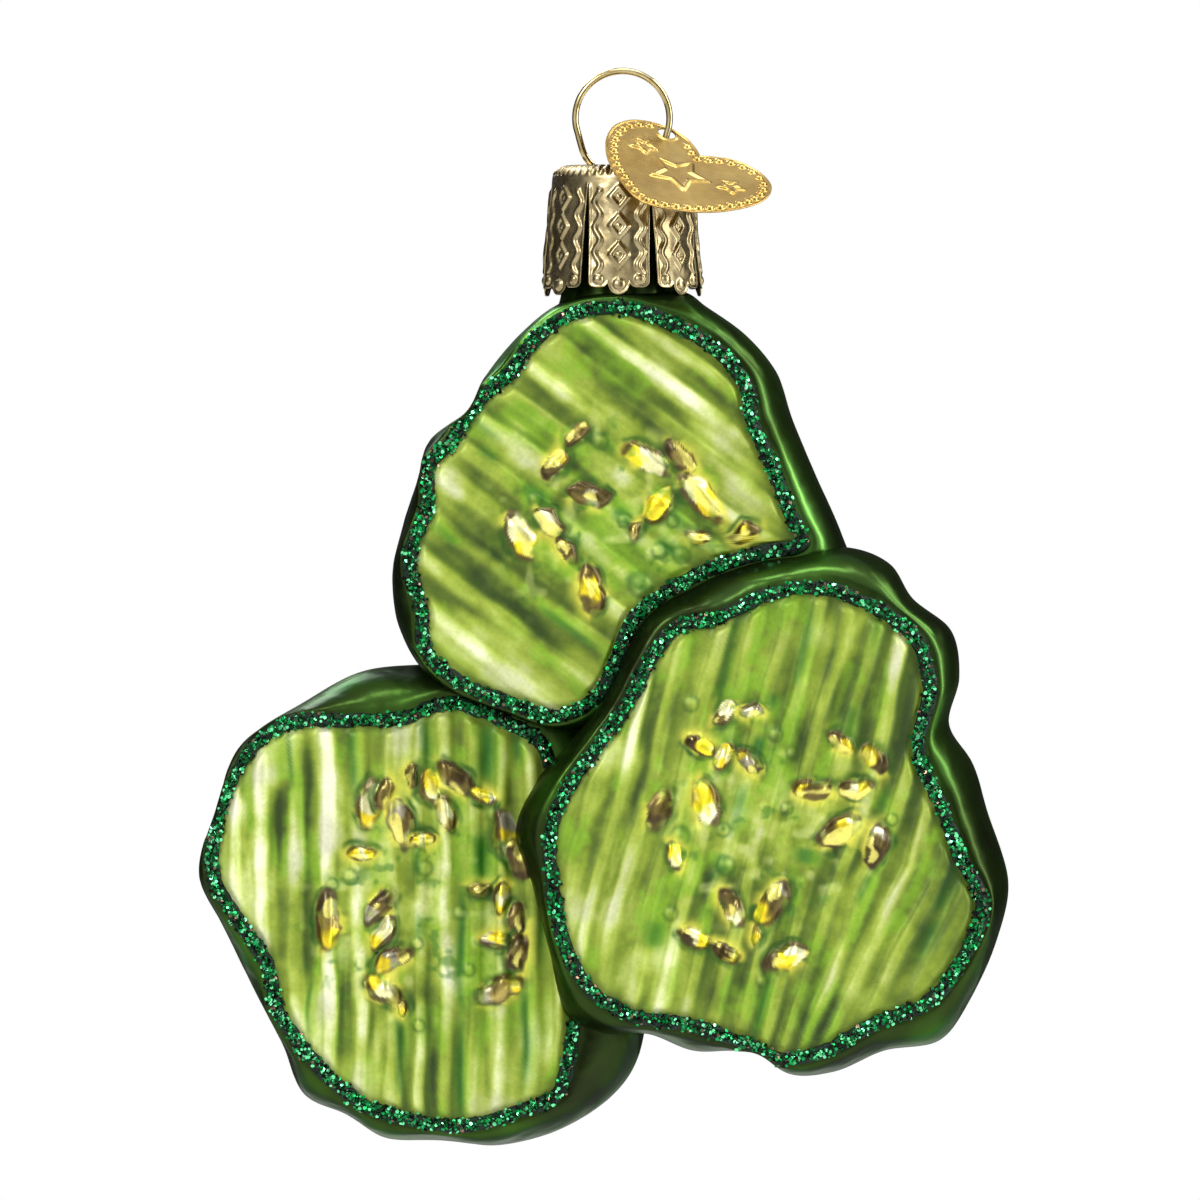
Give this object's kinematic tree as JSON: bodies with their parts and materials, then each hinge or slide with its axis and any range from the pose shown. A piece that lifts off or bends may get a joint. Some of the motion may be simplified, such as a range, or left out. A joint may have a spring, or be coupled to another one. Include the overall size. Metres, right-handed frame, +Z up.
{
  "type": "blown glass pickle slices ornament",
  "caption": "Hollow blown glass ornament of overlapping crinkle-cut pickle slices with glitter bands, a crimped metal cap, a sprung wire hanging loop and a swinging heart tag.",
  "frame": {"origin": "inside top of the hanging loop, where a hook bears, on the axis of the neck", "axes": "+Z up along the neck, -Y out of the front faces of the slices, +X to the right seen from the front"},
  "size_m": [0.0729, 0.0234, 0.0973],
  "materials": {
    "silvered_glass": "blown glass silvered inside and lacquered outside: dark green rind, pale green pearly faces, gold and brown seeds, high gloss",
    "glitter": "emerald glitter flakes in clear glue",
    "cap_metal": "thin stamped sheet, champagne pewter, glossy",
    "wire_metal": "spring wire, pale gold, polished",
    "tag_brass": "stamped brass sheet, satin"
  },
  "bodies": {
    "hanger": {"hanger_wire": "wire_metal"},
    "cap": {"cap": "cap_metal"},
    "tag": {"heart_tag": "tag_brass"},
    "glass": {"glass_body": "silvered_glass", "glitter_bead_top_front": "glitter", "glitter_bead_right_front": "glitter", "glitter_bead_left_front": "glitter", "glitter_bead_top_back": "glitter", "glitter_bead_right_back": "glitter", "glitter_bead_left_back": "glitter"}
  },
  "joints": [
    {"name": "wire_slide", "type": "slide", "parent": "hanger", "child": "cap", "axis": [0, 0, -1], "range_m": [0, 0.002]},
    {"name": "glass_pull", "type": "slide", "parent": "cap", "child": "glass", "axis": [0, 0, -1], "range_m": [0, 0.024]},
    {"name": "tag_swing", "type": "hinge", "parent": "hanger", "child": "tag", "pos_m": [0.00399, 0, -0.0054], "axis": [0.342, 0, 0.9397], "range_deg": [-40, 180]}
  ]
}
